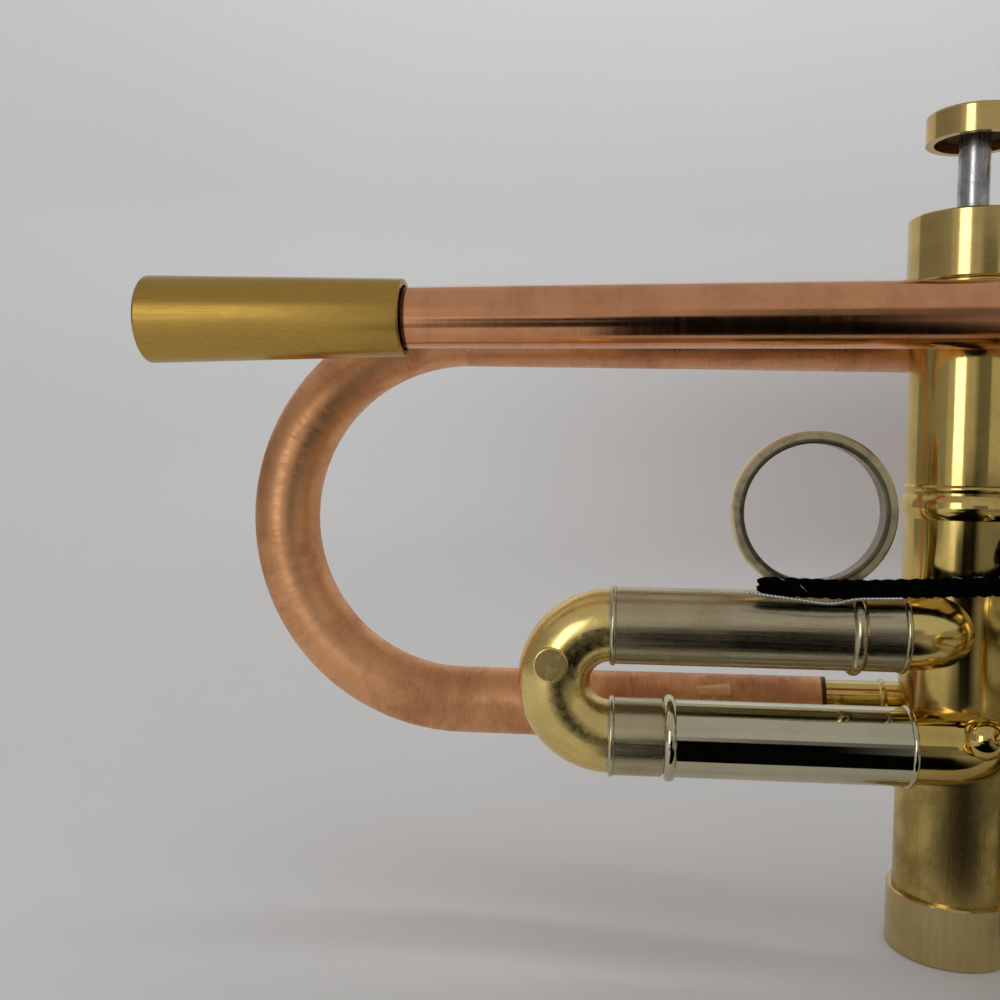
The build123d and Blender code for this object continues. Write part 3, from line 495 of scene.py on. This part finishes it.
class Mesh:
    """Vertices and faces of one piece, gathered from tubes and hairs."""

    def __init__(self):
        self.vertices, self.faces = [], []

    def tube(self, line, radius, corners=8):
        """Round tube along a line; radius is a number, or a function of the share of the way."""
        rows = frames(line)
        start = len(self.vertices)
        for i, (p, _, u, v) in enumerate(rows):
            r = radius(i / (len(rows) - 1)) if callable(radius) else radius
            for k in range(corners):
                a = 2 * math.pi * k / corners
                self.vertices.append(p + (u * math.cos(a) + v * math.sin(a)) * r)
        for i in range(len(rows) - 1):
            for k in range(corners):
                a, b = start + i * corners + k, start + i * corners + (k + 1) % corners
                self.faces.append((a, b, b + corners, a + corners))
        last = start + (len(rows) - 1) * corners
        self.faces.append(tuple(start + k for k in reversed(range(corners))))
        self.faces.append(tuple(last + k for k in range(corners)))

    def hair(self, root, way, across, length, width, rng):
        """One bent fibre, thick at its root and pointed at its end."""
        bend = Vector([rng.uniform(-1, 1) for _ in "xyz"]) * length * 0.45
        middle, tip = root + way * length * 0.55, root + way * length + bend
        start = len(self.vertices)
        self.vertices += [root - across * width, root + across * width,
                          middle - across * width * 0.7, middle + across * width * 0.7, tip]
        self.faces += [(start, start + 1, start + 3, start + 2), (start + 2, start + 3, start + 4)]

    def piece(self, name, material, body=None):
        mesh = bpy.data.meshes.new(name)
        mesh.from_pydata(self.vertices, [], self.faces)
        mesh.polygons.foreach_set("use_smooth", [True] * len(self.faces))
        mesh.materials.append(material)
        obj = put(bpy.data.objects.new(name, mesh))
        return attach(obj, body) if body else obj


def wound(line, offset, pitch, phase, wobble=0.0, rng=None):
    """A line that winds round another one at a distance."""
    made, run = [], 0.0
    for i, (p, _, u, v) in enumerate(frames(line)):
        if i:
            run += (p - line[i - 1]).length
        a = phase + 2 * math.pi * run / pitch
        r = offset + (rng.uniform(-wobble, wobble) if rng else 0)
        made.append(p + (u * math.cos(a) + v * math.sin(a)) * r)
    return made


def knot_line():
    """A trefoil knot as an open line."""
    line = []
    for k in range(KNOT_POINTS):
        a = 2 * math.pi * k / (KNOT_POINTS - 1)
        shape = Vector((math.sin(a) + 2 * math.sin(2 * a), math.cos(a) - 2 * math.cos(2 * a),
                        -math.sin(3 * a)))
        line.append(Vector(KNOT_AT) * MM + shape * KNOT_SIZE)
    return line


def tapered(share):
    """A yarn's radius, which thins at both of its ends."""
    return YARN_R * min(1.0, 0.35 + share * 40, 0.35 + (1 - share) * 40)


def add_cord():
    """Soft black cord: twisted yarns, fuzz, and a knot where the loop round the valve ends."""
    rng = random.Random(4)
    line = smooth_line(CORD_ROUTE, CORD_STEP)
    mesh = Mesh()
    for k in range(YARNS):
        phase = 2 * math.pi * k / YARNS
        mesh.tube(wound(line, YARN_OFFSET, YARN_PITCH, phase, YARN_WOBBLE, rng), tapered)
    mesh.tube(knot_line(), KNOT_R, 10)
    for p, way, u, v in frames(line) * FUZZ_PER_POINT:
        a = rng.uniform(0, 2 * math.pi)
        out = u * math.cos(a) + v * math.sin(a)
        lean = (out + way * rng.uniform(-0.8, 0.8)).normalized()
        root = p + out * FUZZ_ROOT + way * rng.uniform(-0.3, 0.3) * MM
        across = way.cross(out).normalized()
        mesh.hair(root, lean, across, rng.uniform(*FUZZ_LENGTH) * MM, FUZZ_WIDTH, rng)
    glint = Mesh()
    for first in GLINT_STARTS:
        strand = wound(line[first:first + GLINT_POINTS], GLINT_OFFSET, GLINT_PITCH,
                       rng.uniform(0, 6.3))
        glint.tube(strand, GLINT_R, 5)
    cord = mesh.piece("braided_cord", MATERIALS["cord"])
    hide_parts("keeper_cord")
    glints = glint.piece("cord_glints", MATERIALS["spring_steel"])
    for piece in (cord, glints):
        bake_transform(piece)


def add_wire():
    """Thin silver wire of two strands twisted together, lying along the cord."""
    line = smooth_line(WIRE_ROUTE, WIRE_STEP)
    mesh = Mesh()
    for k in range(WIRE_STRANDS):
        phase = 2 * math.pi * k / WIRE_STRANDS
        mesh.tube(wound(line, STRAND_OFFSET, STRAND_PITCH, phase), STRAND_R, 6)
    wire = mesh.piece("twisted_wire", MATERIALS["spring_steel"], "first_slide")
    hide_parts("binding_wire")


def coil(low, high, turns):
    """Centre line of a wire that fills a box as an upright helix."""
    radius = (high.x - low.x) / 2 - SPRING_WIRE_R
    middle = (low + high) / 2
    height = high.z - low.z - 2 * SPRING_WIRE_R
    steps = turns * 36
    line = []
    for k in range(steps + 1):
        a = math.radians(10 * k)
        line.append(Vector((middle.x + radius * math.cos(a), middle.y + radius * math.sin(a),
                            low.z + SPRING_WIRE_R + height * k / steps)))
    return line


def add_springs():
    """Coil springs under the pistons, which in the real instrument shorten as their valves are
    pressed.
    """
    for n in VALVES:
        low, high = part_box(f"valve_spring_{n}")
        mesh = Mesh()
        mesh.tube(coil(low, high, SPRING_TURNS), SPRING_WIRE_R)
        spring = mesh.piece(f"coil_spring_{n}", MATERIALS["spring_steel"], "root")
        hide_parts(f"valve_spring_{n}")
        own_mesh(spring)


# ---------------------------------------------------------------- stage

# The sweep: radii of its flat part and of its bend, the wall's height, and its corners
FLAT_R, BEND_R, WALL_HEIGHT, SWEEP_CORNERS, BEND_STEPS = 0.95, 0.45, 0.7, 128, 16
PAPER = ((0.76, 0.755, 0.755), (0.80, 0.80, 0.805))
# Painted shade on the paper: darker low down behind the object, and warmer and darker towards the
# bell
SHADE_PAPER = (0.665, 0.663, 0.657)
WARM_SHADE_PAPER = (0.41, 0.365, 0.345)

# The main window, and a brighter one that a few nodes don't see
WINDOW_AT, GLARE_AT, WINDOW_TARGET = (-0.55, -0.92, 0.335), (-0.54, -0.91, 0.335), (-0.05, 0, 0.335)
WINDOW_SIZE = (0.34, 0.58)
OUT_OF_GLARE = ("mouthpiece_receiver", "leadpipe", "bell_bow", "bell", "tail_patch")


def mesh_object(name, vertices, faces, material, smooth=False):
    mesh = bpy.data.meshes.new(name)
    mesh.from_pydata(vertices, [], faces)
    mesh.polygons.foreach_set("use_smooth", [smooth] * len(faces))
    mesh.materials.append(material)
    return put(bpy.data.objects.new(name, mesh))


def sweep_profile():
    """Radius and height along the sweep, from near its middle to the top of its wall."""
    profile = [(0.02, 0.0), (0.4, 0.0), (FLAT_R, 0.0)]
    for k in range(1, BEND_STEPS + 1):
        a = math.pi / 2 * k / BEND_STEPS
        profile.append((FLAT_R + BEND_R * math.sin(a), BEND_R - BEND_R * math.cos(a)))
    return profile + [(FLAT_R + BEND_R, BEND_R + WALL_HEIGHT)]


def sweep_paper():
    """Pale matt paper with painted shade: darker low down behind the object, and a warm painted
    shade towards the bell.
    """
    tree = Tree("sweep_paper")
    paper = tree.tint(tree.noise(tree.place(), 1.6, 2.0), *PAPER)
    x, y, z = tree.axes(tree.place())
    # Painted shade: darker low down behind the object; towards the bell a warm painted shade, which
    # also stands in for light bounced off the copper
    low = tree.spread(z, 0.08, 0.42, 1.0, 0.0)
    behind = tree.math("MULTIPLY", low, tree.spread(y, -0.30, 0.10))
    shaded = tree.tint(behind, paper, SHADE_PAPER)
    warm = tree.math("MULTIPLY", low, tree.spread(y, 0.0, 0.8))
    warm = tree.math("MULTIPLY", warm, tree.spread(x, -0.50, 0.45))
    tree.join(tree.tint(warm, shaded, WARM_SHADE_PAPER), tree.shader.inputs["Base Color"])
    tree.shader.inputs["Roughness"].default_value = 0.9
    tree.shader.inputs["Specular IOR Level"].default_value = 0.1
    return tree.material


def add_stage():
    """A pale round sweep: a flat floor that curves up into a low wall on every side."""
    centre = (cad_low + cad_high) / 2
    profile, around = sweep_profile(), SWEEP_CORNERS
    vertices = [(centre.x, centre.y, 0)]
    for r, z in profile:
        for k in range(around):
            a = 2 * math.pi * k / around
            vertices.append((centre.x + r * math.cos(a), centre.y + r * math.sin(a), z))
    faces = [(0, 1 + k, 1 + (k + 1) % around) for k in range(around)]
    for ring in range(len(profile) - 1):
        for k in range(around):
            a, b = 1 + ring * around + k, 1 + ring * around + (k + 1) % around
            faces.append((a, a + around, b + around, b))
    mesh_object("sweep", vertices, faces, sweep_paper(), smooth=True)


def card_paper(name, span, brightness):
    """Matt grey whose brightness changes between two X; one brightness is the same all over."""
    tree = Tree(name)
    colour = tree.shader.inputs["Base Color"]
    shades = [(share,) * 3 for share in brightness]
    if len(shades) == 1:
        tree.join((*shades[0], 1), colour)
    else:
        fade = tree.spread(tree.along(tree.place(), ALONG_X), *span)
        tree.join(tree.tint(fade, *shades), colour)
    tree.shader.inputs["Roughness"].default_value = 1.0
    tree.shader.inputs["Specular IOR Level"].default_value = 0.0
    return tree.material


def add_cards():
    """Cards that only reflections see: dark ones below the lens, and grey ones at the sides.

    Each has its corners, its X range, and its brightness at the left and right of that range.
    """
    left, right, near, far, top, lift = -0.090, 0.50, -0.040, -0.26, 0.078, 0.5 * MM
    wing, wing_near, wing_low, wing_top = -0.160, -0.13, 0.010, 0.060
    side_x, side_near, side_far, side_top = -0.80, -0.6, 0.5, 0.5
    front_y, front_left, front_right, front_top = -0.60, -0.04, 0.3, 0.25
    dark = (0.0, 0.07), (0.003, 0.42)
    cards = {
        "floor_card": ([(left, near, lift), (left, far, lift), (right, far, lift),
                        (right, near, lift)], *dark),
        "upright_card": ([(left, far, 0), (left, far, top), (right, far, top), (right, far, 0)],
                         *dark),
        "wing_card": ([(wing, far, wing_low), (wing, far, wing_top), (left, far, wing_top),
                       (left, far, wing_low)], (wing, -0.10), (0.30, 0.012)),
        "wing_floor_card": ([(wing, wing_near, lift), (wing, far, lift), (left, far, lift),
                             (left, wing_near, lift)], (wing, -0.10), (0.30, 0.02)),
        "side_card": ([(side_x, side_near, 0), (side_x, side_far, 0),
                       (side_x, side_far, side_top), (side_x, side_near, side_top)],
                      None, (0.40,)),
        "front_card": ([(front_left, front_y, 0), (front_left, front_y, front_top),
                        (front_right, front_y, front_top), (front_right, front_y, 0)],
                       (front_left, 0.05), (0.6, 0.28)),
    }
    for name, (corners, span, brightness) in cards.items():
        face = tuple(range(len(corners)))
        card = mesh_object(name, corners, [face], card_paper(name, span, brightness))
        card.visible_camera = False
        card.visible_diffuse = False
        card.visible_shadow = False


def softbox(name, at, target, size, radiance, glossy=True):
    """Area light of that radiance, so that its reflection is as bright whatever its size."""
    data = bpy.data.lights.new(name, "AREA")
    data.shape = "RECTANGLE"
    data.size, data.size_y = size
    data.energy = radiance * math.pi * size[0] * size[1]
    light = put(bpy.data.objects.new(name, data))
    light.location = at
    aim(light, target)
    light.visible_glossy = glossy
    light.visible_camera = False
    return light


def add_lights():
    softbox("window", WINDOW_AT, WINDOW_TARGET, WINDOW_SIZE, 0.9)
    glare = softbox("window_glare", GLARE_AT, WINDOW_TARGET, WINDOW_SIZE, 2.0)
    shaded = bpy.data.collections.new("out_of_glare")
    glare.light_linking.receiver_collection = shaded
    for name in OUT_OF_GLARE:
        shaded.objects.link(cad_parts[name])
    for entry in shaded.collection_objects:
        entry.light_linking.link_state = "EXCLUDE"
    middle = (cad_low + cad_high) / 2
    softbox("overhead", (-0.1, -0.25, 1.5), middle, (1.5, 1.3), 0.75, glossy=False)
    softbox("backdrop", (0, 0.75, 1.6), (0, 1.45, 0.7), (1.8, 0.4), 3.2, glossy=False)
    world = bpy.data.worlds.new("studio")
    world.use_nodes = True
    background = world.node_tree.nodes["Background"]
    background.inputs["Color"].default_value = (0.40, 0.40, 0.40, 1)
    bpy.context.scene.world = world
    bpy.context.scene.view_settings.view_transform = "Standard"


add_camera()
dress_nodes()
add_cord()
add_wire()
add_springs()
add_stage()
add_cards()
add_lights()
